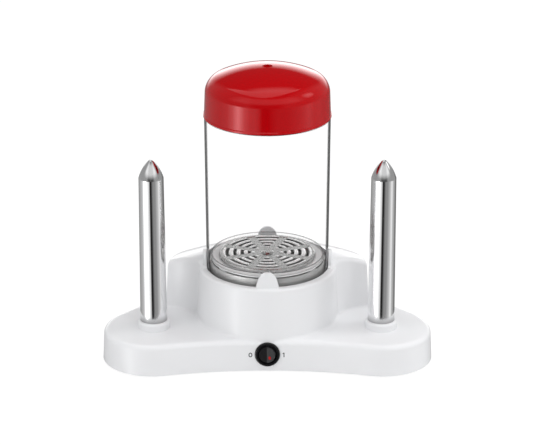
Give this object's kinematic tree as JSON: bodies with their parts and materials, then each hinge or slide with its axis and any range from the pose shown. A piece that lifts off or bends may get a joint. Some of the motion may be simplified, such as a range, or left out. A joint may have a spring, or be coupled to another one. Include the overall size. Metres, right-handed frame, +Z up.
{
  "type": "hot dog toaster",
  "caption": "Hot dog toaster: clear steam cylinder with domed lid on a two-lobed white base, heated roll spikes either side, round rocker switch in front.",
  "frame": {"origin": "on the table, on the axis of the clear cylinder, which is the centre of the footprint", "axes": "+X to the user's right along the line of the spikes, +Y to the back, +Z up"},
  "size_m": [0.31, 0.1662, 0.2761],
  "materials": {
    "white_shell": "smooth white moulding, soft gloss",
    "grey_plate": "fine grained",
    "foot_rubber": "matte",
    "screw_steel": "zinc plated",
    "polished_spike": "polished",
    "pressed_steel": "plain pressed sheet",
    "heater_ceramic": "unglazed",
    "dish_steel": "brushed round the rim",
    "gasket_rubber": "matte",
    "cast_aluminium": "as cast",
    "element_sheath": "heat darkened",
    "fuse_body": "plain",
    "black_switch": "satin black",
    "black_rocker": "fine satin black",
    "red_lens": "clear red",
    "terminal_brass": "plain",
    "block_plastic": "plain",
    "clear_wall": "clear",
    "red_lid": "glossy red",
    "clear_tray": "clear moulded plastic",
    "grid_steel": "pressed, satin"
  },
  "bodies": {
    "base": {"housing": "white_shell", "housing_drum": "white_shell", "housing_shoulder": "white_shell", "spike_collars": "white_shell", "housing_rear": "white_shell", "cylinder_seat": "white_shell", "base_plate": "grey_plate", "rubber_feet": "foot_rubber", "base_screws": "screw_steel", "spike_right": "polished_spike", "spike_left": "polished_spike", "spike_flange_right": "pressed_steel", "spike_flange_left": "pressed_steel", "spike_heater_right": "heater_ceramic", "spike_heater_left": "heater_ceramic", "flange_screws": "screw_steel", "boiler_dish": "dish_steel", "dish_gasket": "gasket_rubber", "heat_plate": "cast_aluminium", "heating_element": "element_sheath", "element_strap": "pressed_steel", "strap_screws": "screw_steel", "thermostat": "pressed_steel", "thermal_fuse": "fuse_body", "switch_body": "black_switch", "switch_terminals": "terminal_brass", "cord_gland": "gasket_rubber", "terminal_block": "block_plastic"},
    "rocker": {"switch_rocker": "black_rocker", "switch_lens": "red_lens"},
    "cylinder": {"clear_cylinder": "clear_wall"},
    "lid": {"lid": "red_lid"},
    "tray": {"steam_tray": "clear_tray"},
    "grid": {"steam_grid": "grid_steel"}
  },
  "joints": [
    {"name": "rocker_hinge", "type": "hinge", "parent": "base", "child": "rocker", "pos_m": [0, -0.06785, 0.01765], "axis": [0, 0.0523, 0.9986], "range_deg": [0, 16]},
    {"name": "cylinder_lift", "type": "slide", "parent": "base", "child": "cylinder", "axis": [0, 0, 1], "range_m": [0, 0.06]},
    {"name": "lid_lift", "type": "slide", "parent": "cylinder", "child": "lid", "axis": [0, 0, 1], "range_m": [0, 0.04]},
    {"name": "tray_lift", "type": "slide", "parent": "base", "child": "tray", "axis": [0, 0, 1], "range_m": [0, 0.04]},
    {"name": "grid_lift", "type": "slide", "parent": "tray", "child": "grid", "axis": [0, 0, 1], "range_m": [0, 0.03]}
  ]
}
